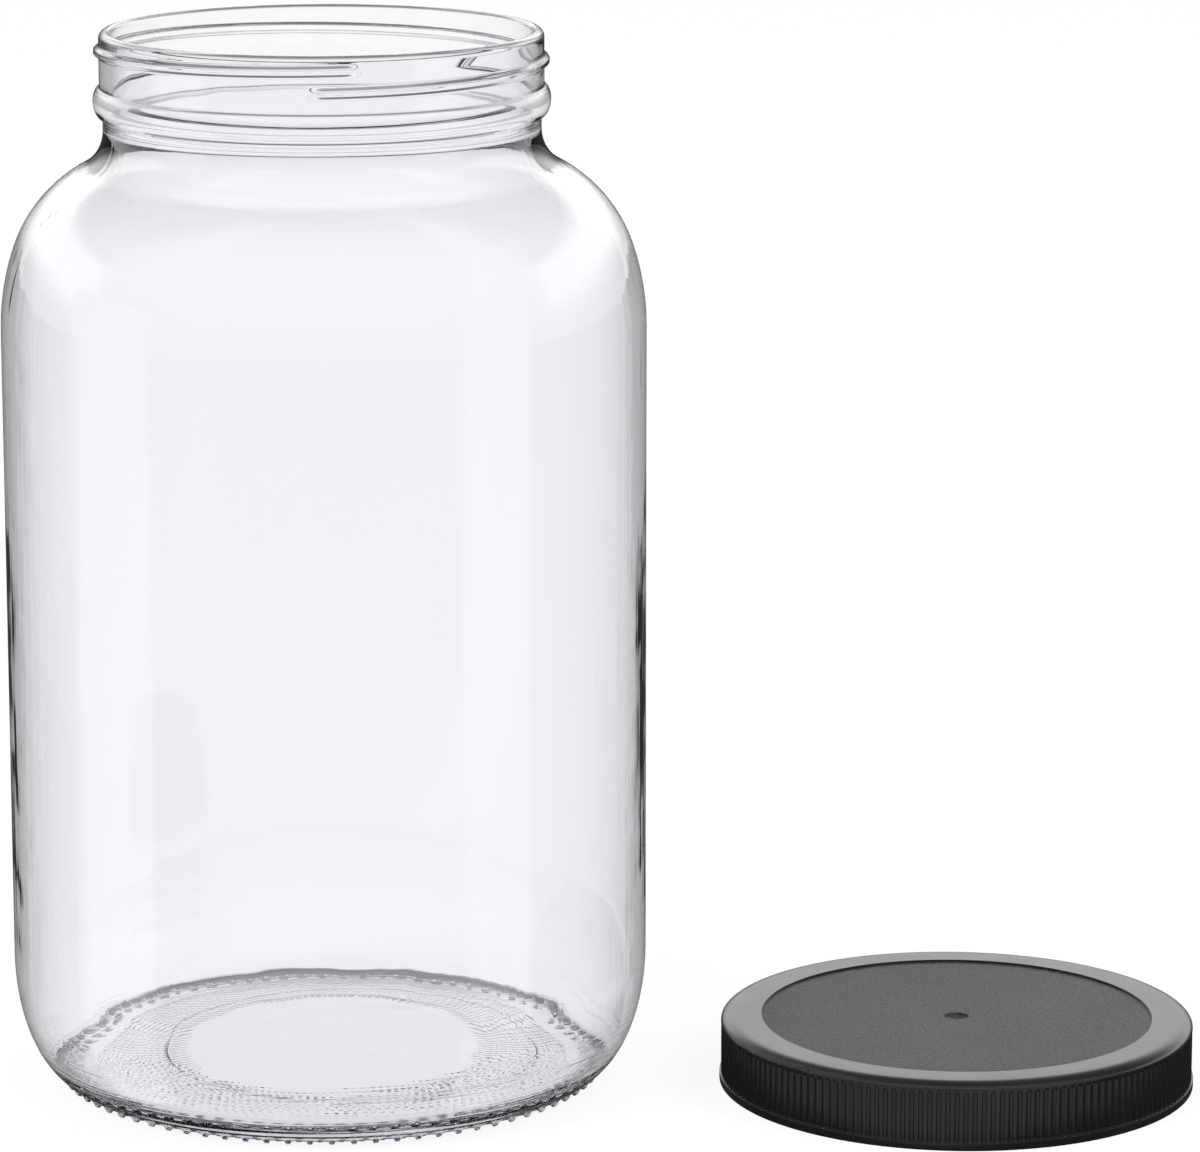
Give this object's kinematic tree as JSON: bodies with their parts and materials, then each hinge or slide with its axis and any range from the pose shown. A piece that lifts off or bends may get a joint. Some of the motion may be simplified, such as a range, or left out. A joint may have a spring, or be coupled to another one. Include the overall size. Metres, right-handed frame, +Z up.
{
  "type": "wide-mouth glass jar with screw lid",
  "caption": "Large clear glass storage jar with a straight round body, rounded shoulder and wide screw-thread mouth, empty, with its ribbed black plastic lid lying beside it.",
  "frame": {"origin": "middle of the floor area that the jar and its lid cover together, at the height of the surface they stand on", "axes": "+Z up along the jar's axis; +X from the jar towards the lid lying beside it; -Y is the side where the screw thread starts and ends"},
  "size_m": [0.2882, 0.1546, 0.256],
  "materials": {
    "clear_glass": "clear, polished, faintly wavy moulded glass",
    "black_plastic": "moulded, glossy at the rim and ribs, fine matt grain on the top panel"
  },
  "bodies": {
    "root": {"jar": "clear_glass", "lid": "black_plastic"}
  },
  "joints": []
}
